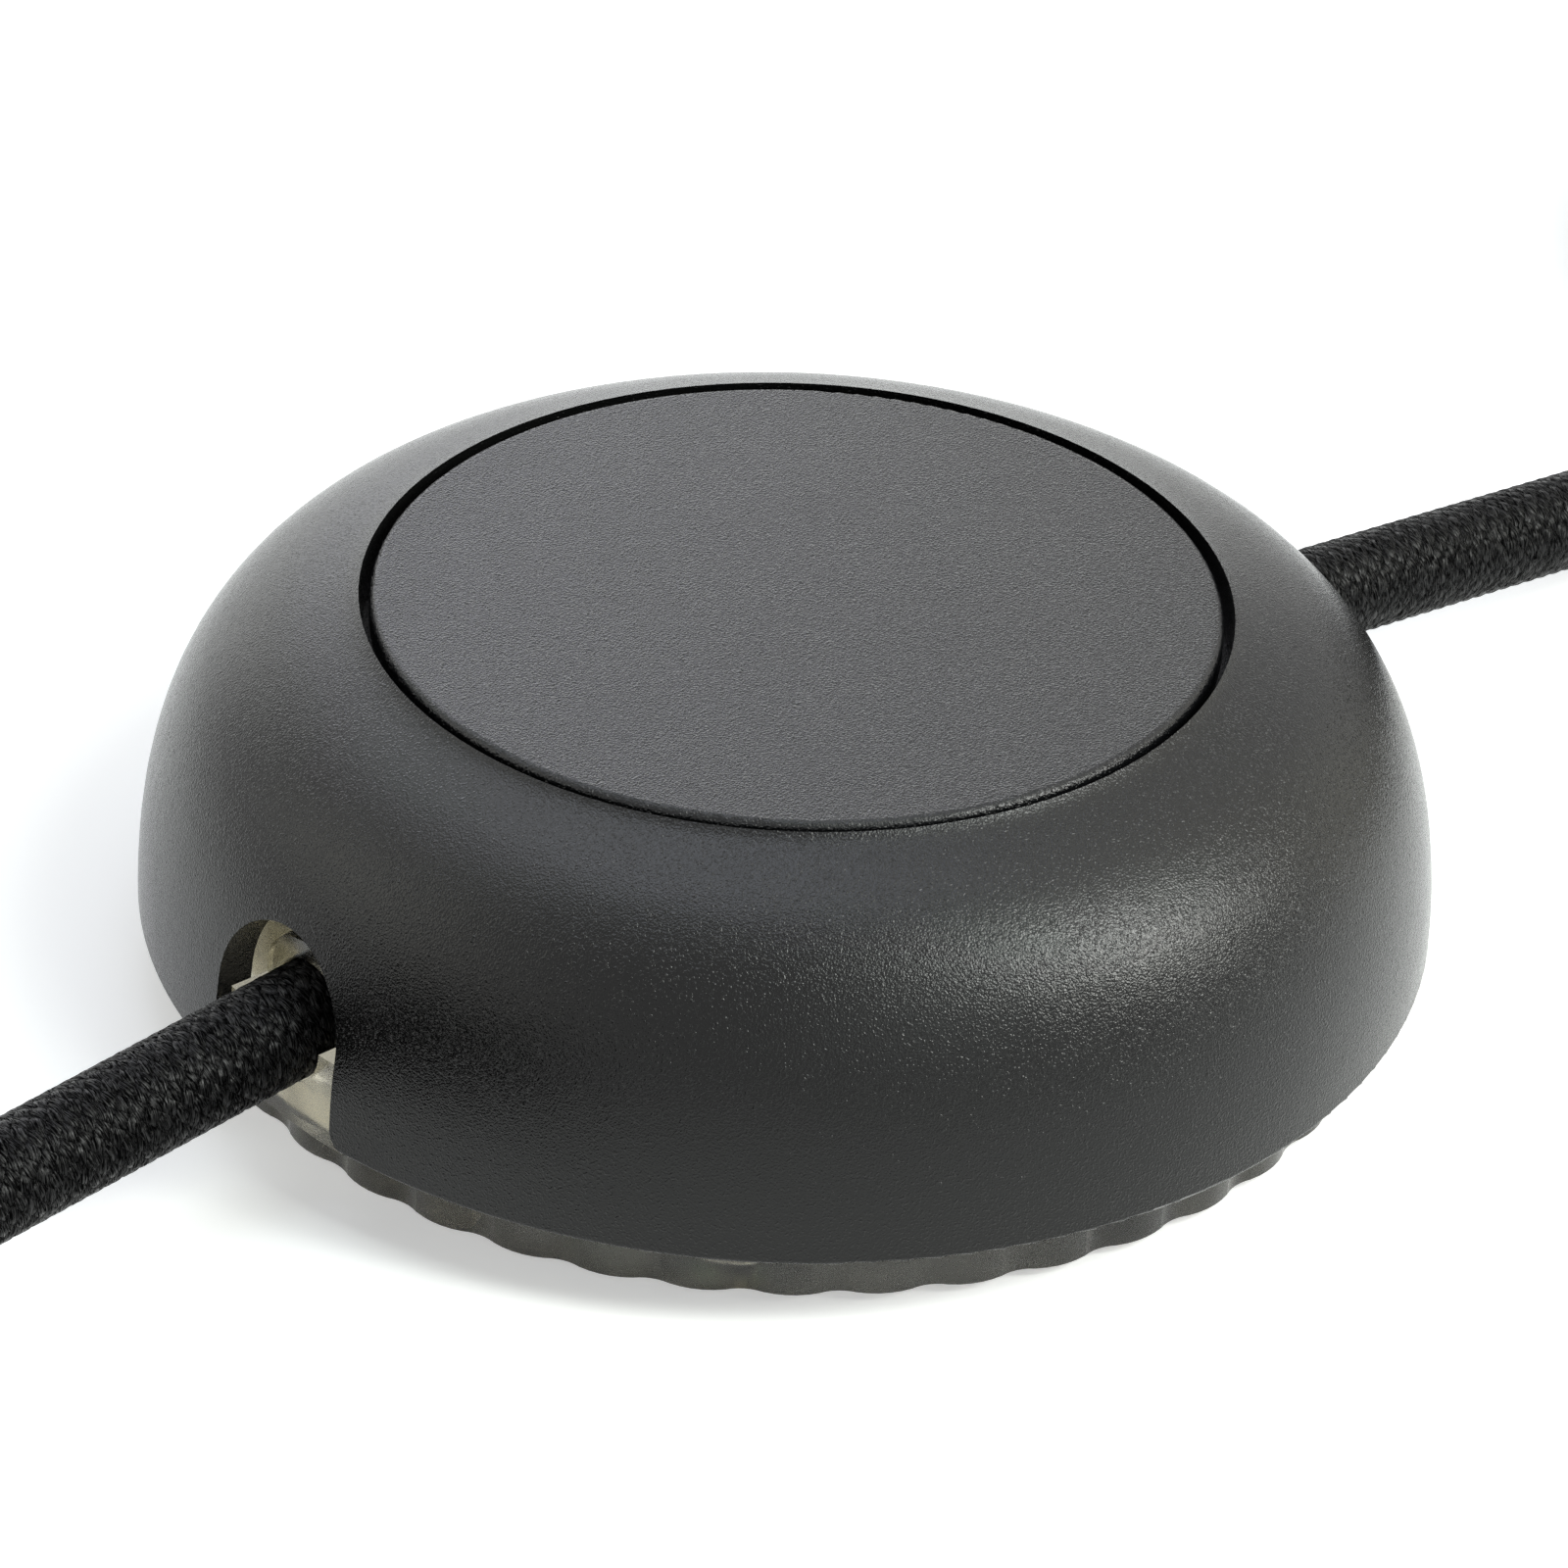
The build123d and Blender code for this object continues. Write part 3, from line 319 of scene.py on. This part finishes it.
def new_material(name, colour, roughness, **sockets):
    """Material with a Principled shader; sockets are its other inputs by name, with _ for a space."""
    made = bpy.data.materials.new(name)
    made.use_nodes = True
    made.diffuse_color = (*colour, 1)
    shader = made.node_tree.nodes["Principled BSDF"]
    shader.inputs["Base Color"].default_value = (*colour, 1)
    shader.inputs["Roughness"].default_value = roughness
    for socket, value in sockets.items():
        shader.inputs[socket.replace("_", " ")].default_value = value
    return made


def add_node(material, kind, settings=(), inputs=(), links=()):
    """One node, with its settings, the values of inputs by name, and links to inputs as (name, output)."""
    tree = material.node_tree
    made = tree.nodes.new(kind)
    for key, value in dict(settings).items():
        setattr(made, key, value)
    for key, value in dict(inputs).items():
        made.inputs[key].default_value = value
    for key, output in dict(links).items():
        tree.links.new(output, made.inputs[key])
    return made


def object_place(material):
    return add_node(material, "ShaderNodeTexCoord").outputs["Object"]


def noise(material, place, size, detail=2.0, roughness=0.5, distortion=0.0):
    """Noise whose lumps are about size across, in metres."""
    return add_node(
        material, "ShaderNodeTexNoise", {},
        {"Scale": 1 / size, "Detail": detail, "Roughness": roughness, "Distortion": distortion}, {"Vector": place},
    ).outputs["Fac"]


def spread(material, value, low, high, to_low, to_high):
    return add_node(
        material, "ShaderNodeMapRange", {}, {"From Min": low, "From Max": high, "To Min": to_low, "To Max": to_high},
        {"Value": value},
    ).outputs["Result"]


def calculate(material, operation, first, second=None):
    """Output of a Math node; first and second are outputs or numbers, but not both numbers."""
    made = add_node(material, "ShaderNodeMath", {"operation": operation})
    for index, value in enumerate((first, second)):
        if isinstance(value, (int, float)):
            made.inputs[index].default_value = value
        elif value is not None:
            material.node_tree.links.new(value, made.inputs[index])
    return made.outputs[0]


def choose(material, share, first, second):
    """The first value where share is 0, and the second where it is 1; both are outputs, or both are numbers."""
    ends = {"To Min": first, "To Max": second}
    if isinstance(first, float):
        return add_node(material, "ShaderNodeMapRange", {}, ends, {"Value": share}).outputs["Result"]
    return add_node(material, "ShaderNodeMapRange", {}, {}, {"Value": share, **ends}).outputs["Result"]


def tint(material, share, dark, light):
    """Colour that goes from dark to light with share, into the shader's base colour."""
    mix = add_node(material, "ShaderNodeMix", {"data_type": "RGBA"})
    material.node_tree.links.new(share, mix.inputs[0])
    for index, value in ((6, dark), (7, light)):
        mix.inputs[index].default_value = (*value, 1)
    material.node_tree.links.new(mix.outputs[2], material.node_tree.nodes["Principled BSDF"].inputs["Base Color"])
    return mix.outputs[2]


def gloss(material, value):
    material.node_tree.links.new(value, material.node_tree.nodes["Principled BSDF"].inputs["Roughness"])


def relief(material, height, distance, under=None):
    """Bump of a height from 0 to 1 and its distance in metres, on top of another bump if given."""
    links = {"Height": height}
    if under is not None:
        links["Normal"] = under
    made = add_node(material, "ShaderNodeBump", {}, {"Strength": 1.0, "Distance": distance}, links).outputs["Normal"]
    material.node_tree.links.new(made, material.node_tree.nodes["Principled BSDF"].inputs["Normal"])
    return made


def moulded(name, colour, roughness=0.42, grain=0.24 * mm, depth=0.012 * mm, peaks=0.0, **sockets):
    """Moulded plastic with the fine grain of a spark-eroded mould, and gloss that varies a little.
    Peaks is the height of the single steeper grains, which glint outside a highlight."""
    made = new_material(name, colour, roughness, **sockets)
    place = object_place(made)
    fine = noise(made, place, grain, 1.0, 0.5)
    broad = noise(made, place, 9 * mm, 3.0)
    tint(made, broad, [0.9 * c for c in colour], [1.12 * c for c in colour])
    gloss(made, spread(made, broad, 0.3, 0.7, roughness - 0.025, roughness + 0.025))
    under = relief(made, fine, depth)
    if peaks:
        steep = spread(made, noise(made, place, 1.3 * grain, 0.0), 0.58, 0.80, 0.0, 1.0)
        relief(made, steep, peaks, under)
    return made


def dress(material, *nodes):
    for node in nodes:
        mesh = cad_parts[node].data
        mesh.materials.clear()
        mesh.materials.append(material)


def metal(name, colour, roughness, streak=0.4 * mm):
    """Plated or drawn metal: gloss in fine streaks along X, and slight stains in its colour."""
    made = new_material(name, colour, roughness, Metallic=1.0)
    place = object_place(made)
    stretched = add_node(made, "ShaderNodeMapping", {}, {"Scale": (0.15, 1.0, 1.0)}, {"Vector": place}).outputs[0]
    fine = noise(made, stretched, streak, 3.0)
    tint(made, noise(made, place, 3 * mm), [0.88 * c for c in colour], [min(1.0, 1.08 * c) for c in colour])
    gloss(made, spread(made, fine, 0.3, 0.7, roughness * 0.75, roughness * 1.3))
    relief(made, fine, 0.003 * mm)
    return made


def smoky_clear():
    """Clear plastic with a smoky olive tint, with slow waves from moulding and fine scratches in its gloss."""
    made = new_material("smoky_clear_plastic", (0.86, 0.81, 0.66), 0.08, Transmission_Weight=1.0, IOR=1.49)
    place = object_place(made)
    waves = noise(made, place, 4 * mm, 1.0)
    under = relief(made, waves, 0.05 * mm)
    relief(made, noise(made, place, 0.6 * mm, 2.0), 0.004 * mm, under)
    gloss(made, spread(made, noise(made, place, 2 * mm, 3.0), 0.35, 0.65, 0.16, 0.24))
    tint(made, noise(made, place, 6 * mm), (0.87, 0.83, 0.68), (0.91, 0.88, 0.75))
    return made


def laminate():
    """Green solder mask over a glass weave, with lighter copper areas under it."""
    made = new_material("board_laminate", (0.02, 0.12, 0.05), 0.35)
    place = object_place(made)
    patches = add_node(
        made, "ShaderNodeTexVoronoi", {"feature": "F1", "distance": "CHEBYCHEV"}, {"Scale": 1 / (4 * mm)},
        {"Vector": place},
    ).outputs["Distance"]
    tint(made, spread(made, patches, 0.42, 0.46, 0.0, 1.0), (0.016, 0.10, 0.04), (0.035, 0.19, 0.075))
    weave = add_node(
        made, "ShaderNodeTexBrick", {"offset": 0.5},
        {"Scale": 1 / (1.0 * mm), "Mortar Size": 0.06, "Brick Width": 0.5, "Row Height": 0.5}, {"Vector": place},
    ).outputs["Fac"]
    relief(made, weave, 0.01 * mm)
    return made


def winding_copper():
    """Enamelled copper: a clear brown lacquer, with each strand of the loop as a fine ridge."""
    made = new_material("enamelled_copper", (0.62, 0.24, 0.08), 0.28, Metallic=1.0, Coat_Weight=0.5)
    place = object_place(made)
    tint(made, noise(made, place, 1.2 * mm), (0.50, 0.18, 0.06), (0.72, 0.30, 0.11))
    relief(made, noise(made, place, 0.3 * mm), 0.02 * mm)
    return made


def insulation(name, colour):
    """Soft insulation of a conductor, with a faint drawn surface."""
    made = new_material(name, colour, 0.38)
    place = object_place(made)
    tint(made, noise(made, place, 2 * mm), [0.85 * c for c in colour], [1.1 * c for c in colour])
    relief(made, noise(made, place, 0.2 * mm), 0.006 * mm)
    return made


housing_black = moulded(
    "housing_black_plastic", (0.0036, 0.0037, 0.0037), 0.17, 0.14 * mm, 0.050 * mm, 0.024 * mm, Specular_IOR_Level=0.3
)
pad_black = moulded(
    "pad_black_plastic", (0.0034, 0.0035, 0.0040), 0.19, 0.13 * mm, 0.052 * mm, 0.035 * mm, Specular_IOR_Level=0.3
)
inner_black = moulded("inner_black_plastic", (0.014, 0.014, 0.014), 0.5)
plug_black = moulded("plug_black_rubber", (0.018, 0.018, 0.018), 0.48, 0.35 * mm, 0.02 * mm)
sleeve_black = moulded("sleeve_black_plastic", (0.014, 0.014, 0.014), 0.35, 0.5 * mm, 0.01 * mm)
cover_grey = moulded("cover_grey_plastic", (0.20, 0.205, 0.21), 0.45)
terminal_grey = moulded("terminal_pale_polyamide", (0.55, 0.56, 0.54), 0.42)
rubber = moulded("foot_rubber", (0.028, 0.028, 0.028), 0.75)
epoxy_black = moulded("epoxy_black", (0.02, 0.02, 0.02), 0.55)
ferrite = moulded("core_ferrite", (0.05, 0.05, 0.048), 0.5, 0.15 * mm, 0.01 * mm)
film_case = moulded("film_case_yellow", (0.62, 0.42, 0.06), 0.38)
can_sleeve = moulded("can_sleeve_blue", (0.02, 0.04, 0.14), 0.3)
fuse_body = moulded("fuse_ceramic", (0.72, 0.70, 0.64), 0.35)
resistor_body = moulded("resistor_lacquer", (0.55, 0.42, 0.24), 0.4)
lamp_body = moulded(
    "lamp_red_lens", (0.75, 0.03, 0.02), 0.15, 0.5 * mm, 0.004 * mm, Transmission_Weight=0.6, IOR=1.5
)
plunger_white = moulded("plunger_white_plastic", (0.70, 0.70, 0.68), 0.4)
steel = metal("zinc_plated_steel", (0.62, 0.63, 0.64), 0.30)
spring_steel = metal("spring_steel", (0.50, 0.50, 0.51), 0.25)
aluminium = metal("sheet_aluminium", (0.78, 0.78, 0.79), 0.34)
nickel = metal("nickel_plated_brass", (0.70, 0.67, 0.62), 0.18)
tinned = metal("tinned_copper", (0.74, 0.73, 0.71), 0.30)
live_brown = insulation("live_brown_insulation", (0.11, 0.045, 0.02))
neutral_blue = insulation("neutral_blue_insulation", (0.02, 0.10, 0.42))

dress(housing_black, "housing")
dress(pad_black, "press_pad")
dress(smoky_clear(), "clear_base")
dress(rubber, *[f"foot_{number}" for number in range(1, 5)])
dress(steel, "housing_screws", "board_screws", "triac_screw", "clamp_screws", "terminal_screws")
pressed_spring.data.materials.append(spring_steel)
dress(cover_grey, "inner_cover")
dress(inner_black, "lamp_cord_clamp", "mains_cord_clamp", "switch_body")
dress(plunger_white, "switch_plunger")
dress(laminate(), "circuit_board")
dress(terminal_grey, "lamp_terminal", "mains_terminal")
dress(epoxy_black, "triac", "control_chip")
dress(aluminium, "cooling_plate")
dress(ferrite, "choke_core")
dress(winding_copper(), "choke_winding")
dress(film_case, "film_capacitor")
dress(can_sleeve, "can_capacitor")
dress(fuse_body, "fuse")
dress(resistor_body, "resistors")
dress(lamp_body, "finder_lamp")
dress(live_brown, "lamp_live_wire", "mains_live_wire", "end_live_wire")
dress(neutral_blue, "lamp_neutral_wire", "mains_neutral_wire", "end_neutral_wire")
dress(plug_black, "plug_body", "plug_relief")
dress(sleeve_black, "pin_sleeves", "end_sleeve")
dress(nickel, "plug_pins")
dress(tinned, "ferrules")


def textile(name):
    """Braid with the formula of braid_height. Fibres run along each yarn, and some of them catch more light."""
    made = new_material(name, (0.002, 0.002, 0.0021), 0.38, Anisotropic=0.84)
    place = add_node(made, "ShaderNodeUVMap", {"uv_map": "along"}).outputs["UV"]
    parts = add_node(made, "ShaderNodeSeparateXYZ", {}, {}, {"Vector": place}).outputs
    around = calculate(made, "MULTIPLY", parts["X"], braid_count / (2 * pi * cord_radius))
    along = calculate(made, "MULTIPLY", parts["Y"], 1 / braid_pitch)
    p = calculate(made, "ADD", around, along)
    q = calculate(made, "SUBTRACT", around, along)
    squares = calculate(made, "ADD", calculate(made, "FLOOR", p), calculate(made, "FLOOR", q))
    swapped = calculate(made, "FLOORED_MODULO", squares, 2.0)
    across, run = choose(made, swapped, p, q), choose(made, swapped, q, p)
    t, w = calculate(made, "FRACT", across), calculate(made, "FRACT", run)
    crown = calculate(made, "MULTIPLY", t, calculate(made, "SUBTRACT", 1.0, t))
    bulge = calculate(made, "SQRT", calculate(made, "MULTIPLY", crown, 4.0))
    over = calculate(made, "MULTIPLY_ADD", calculate(made, "SINE", calculate(made, "MULTIPLY", w, pi)), 0.5)
    over.node.inputs[2].default_value = 0.5
    height = calculate(made, "MULTIPLY", bulge, over)
    lean = choose(made, swapped, -fibre_lean, fibre_lean)
    across_fibres = calculate(made, "ADD", parts["Y"], calculate(made, "MULTIPLY", lean, parts["X"]))
    stretched = add_node(
        made, "ShaderNodeCombineXYZ", {}, {},
        {
            "X": calculate(made, "DIVIDE", across_fibres, fibre_width),
            "Y": calculate(made, "DIVIDE", parts["X"], fibre_length),
            "Z": calculate(made, "MULTIPLY", swapped, 7.3),
        },
    ).outputs["Vector"]
    fibres = add_node(
        made, "ShaderNodeTexNoise", {}, {"Scale": 1.0, "Detail": 3.0, "Roughness": 0.7, "Distortion": 0.9},
        {"Vector": stretched},
    ).outputs["Fac"]
    under = relief(made, height, yarn_relief)
    relief(made, fibres, fibre_relief, under)
    shader = made.node_tree.nodes["Principled BSDF"]
    link = made.node_tree.links.new
    shine = spread(made, fibres, 0.47, 0.65, 0.0, 0.5)
    # Specular level drops to a quarter in the braid's hollows: painted shade where the yarns would shadow each other.
    # The fibre noise above varies the gloss at random.
    shine = calculate(made, "MULTIPLY", shine, spread(made, height, 0.05, 0.6, 0.25, 1.0))
    link(shine, shader.inputs["Specular IOR Level"])
    tint(made, spread(made, fibres, 0.5, 0.75, 0.0, 1.0), (0.0012, 0.0012, 0.0013), (0.0048, 0.0048, 0.0051))
    tangent = add_node(made, "ShaderNodeTangent", {"direction_type": "UV_MAP", "uv_map": "along"}).outputs[0]
    link(tangent, shader.inputs["Tangent"])
    link(choose(made, swapped, 0.31, 0.19), shader.inputs["Anisotropic Rotation"])
    return made


cord_black = textile("black_textile")
for cord in (mains_cord, lamp_cord):
    cord.data.materials.append(cord_black)

strap_black = moulded("strap_black_hook_and_loop", (0.010, 0.010, 0.010), 0.85, 0.5 * mm, 0.25 * mm)
for tie in [*ties["mains"], *ties["lamp"]]:
    tie.data.materials.append(strap_black)


def camera():
    heading, pitch = radians(camera_heading), radians(camera_pitch)
    level = Vector((cos(heading), sin(heading), 0))
    ahead = level * cos(pitch) - Vector((0, 0, sin(pitch)))
    right = Vector((sin(heading), -cos(heading), 0))
    up = right.cross(ahead)
    facing = Matrix((right, up, -ahead)).transposed()
    facing = facing @ Matrix.Rotation(radians(camera_pan), 3, "Y") @ Matrix.Rotation(radians(camera_tilt), 3, "X")
    facing = facing @ Matrix.Rotation(radians(camera_roll), 3, "Z")
    data = bpy.data.cameras.new("camera")
    data.sensor_width = 36
    data.lens = camera_lens
    data.clip_start, data.clip_end = 0.01, 50
    made = bpy.data.objects.new("camera", data)
    made.matrix_world = Matrix.Translation(camera_place) @ facing.to_4x4()
    bpy.context.scene.collection.objects.link(made)
    bpy.context.scene.camera = made


camera()
bpy.context.scene.view_settings.view_transform = "Standard"
bpy.context.scene.cycles.denoising_prefilter = "NONE"  # keeps the fine grain


def softbox(name, azimuth, elevation, distance, size, radiance, tint, aim=(0, 0, 0.015)):
    """Rectangular lamp on a ball round its aim: azimuth is counted from the camera's heading, positive to the left.
    Its power is four times its area times the radiance, which is what Cycles divides by."""
    turn, rise = radians(camera_heading + azimuth), radians(elevation)
    away = Vector((cos(turn) * cos(rise), sin(turn) * cos(rise), sin(rise)))
    data = bpy.data.lights.new(name, "AREA")
    data.shape = "RECTANGLE"
    data.size, data.size_y = size
    data.energy = 4 * size[0] * size[1] * radiance
    data.color = tint
    made = bpy.data.objects.new(name, data)
    made.location = Vector(aim) + away * distance
    made.rotation_euler = away.to_track_quat("Z", "Y").to_euler()
    made.visible_camera = False
    bpy.context.scene.collection.objects.link(made)


# Name, azimuth, elevation, distance, side of the square, radiance and colour of each lamp
for lamp_name, azimuth, elevation, distance, lamp_side, radiance, lamp_tint in (
    ("side_box_low", -105, 30, 0.60, 0.20, 12.0, (0.98, 1.0, 0.93)),
    ("side_box_high", -105, 42, 0.60, 0.20, 8.8, (0.98, 1.0, 0.98)),
    ("side_box_front", -120, 54, 0.60, 0.20, 8.6, (0.93, 1.0, 0.94)),
    ("right_wall", -60, 50, 0.60, 0.32, 0.70, (1.0, 0.97, 0.81)),
    ("right_ceiling", -60, 70, 0.60, 0.36, 0.65, (0.94, 1.0, 0.97)),
    ("left_ceiling", 60, 70, 0.60, 0.36, 0.87, (0.92, 0.99, 1.0)),
    ("sky_near", 20, 78, 0.25, 0.14, 1.44, (0.77, 0.83, 1.0)),
    ("sky_left", 40, 52, 0.30, 0.14, 0.96, (0.92, 0.94, 1.0)),
    ("sky_back", 15, 25, 0.30, 0.14, 1.03, (0.78, 0.80, 1.0)),
    ("left_wall", 90, 30, 0.60, 0.32, 1.15, (0.99, 1.0, 0.89)),
    ("left_front_low", 120, 12, 0.60, 0.32, 0.48, (1.0, 0.97, 0.87)),
    ("front_wall", -150, 30, 0.60, 0.32, 0.77, (0.90, 1.0, 0.95)),
    ("back_left_low", 30, 12, 0.60, 0.32, 0.82, (0.98, 1.0, 0.97)),
    ("back_low", 0, 12, 0.60, 0.32, 0.82, (0.98, 1.0, 0.96)),
    ("right_low", -60, 12, 0.60, 0.32, 0.65, (1.0, 0.98, 0.76)),
):
    softbox(lamp_name, azimuth, elevation, distance, (lamp_side, lamp_side), radiance, lamp_tint)


def white_where_seen(tree, dim, white):
    """Mixes two shaders: the second for camera, glossy and transmission rays, the first for all others."""
    path = tree.nodes.new("ShaderNodeLightPath")
    seen = path.outputs["Is Camera Ray"]
    for ray in ("Is Glossy Ray", "Is Transmission Ray"):
        either = tree.nodes.new("ShaderNodeMath")
        either.operation = "MAXIMUM"
        tree.links.new(seen, either.inputs[0])
        tree.links.new(path.outputs[ray], either.inputs[1])
        seen = either.outputs[0]
    mix = tree.nodes.new("ShaderNodeMixShader")
    tree.links.new(seen, mix.inputs[0])
    tree.links.new(dim, mix.inputs[1])
    tree.links.new(white, mix.inputs[2])
    return mix.outputs[0]


def studio():
    """World that lights softly, and is plain white where it is seen, mirrored or looked through."""
    world = bpy.data.worlds.new("studio")
    bpy.context.scene.world = world
    world.use_nodes = True
    tree = world.node_tree
    tree.nodes.clear()
    shown = tree.nodes.new("ShaderNodeBackground")
    shown.inputs["Color"].default_value = (1, 1, 1, 1)
    room = tree.nodes.new("ShaderNodeBackground")
    room.inputs["Color"].default_value = (room_level, room_level, room_level, 1)
    out = tree.nodes.new("ShaderNodeOutputWorld")
    tree.links.new(white_where_seen(tree, room.outputs[0], shown.outputs[0]), out.inputs[0])


studio()

floor_reach = 4.0
floor = grid_mesh("floor", floor_reach * np.array([[(-1.0, -1, 0), (1, -1, 0)], [(-1, 1, 0), (1, 1, 0)]]))
paper = bpy.data.materials.new("floor_paper")
paper.use_nodes = True
paper_tree = paper.node_tree
paper_tree.nodes.clear()
matt = paper_tree.nodes.new("ShaderNodeBsdfDiffuse")
matt.inputs["Color"].default_value = (paper_white, paper_white, paper_white, 1)
dull = paper_tree.nodes.new("ShaderNodeBsdfDiffuse")
dull.inputs["Color"].default_value = (paper_dull, paper_dull, paper_dull, 1)
glow = paper_tree.nodes.new("ShaderNodeEmission")
glow.inputs["Strength"].default_value = paper_glow
lit = paper_tree.nodes.new("ShaderNodeAddShader")
paper_out = paper_tree.nodes.new("ShaderNodeOutputMaterial")
paper_tree.links.new(matt.outputs[0], lit.inputs[0])
paper_tree.links.new(glow.outputs[0], lit.inputs[1])
paper_tree.links.new(white_where_seen(paper_tree, dull.outputs[0], lit.outputs[0]), paper_out.inputs[0])
floor.data.materials.append(paper)
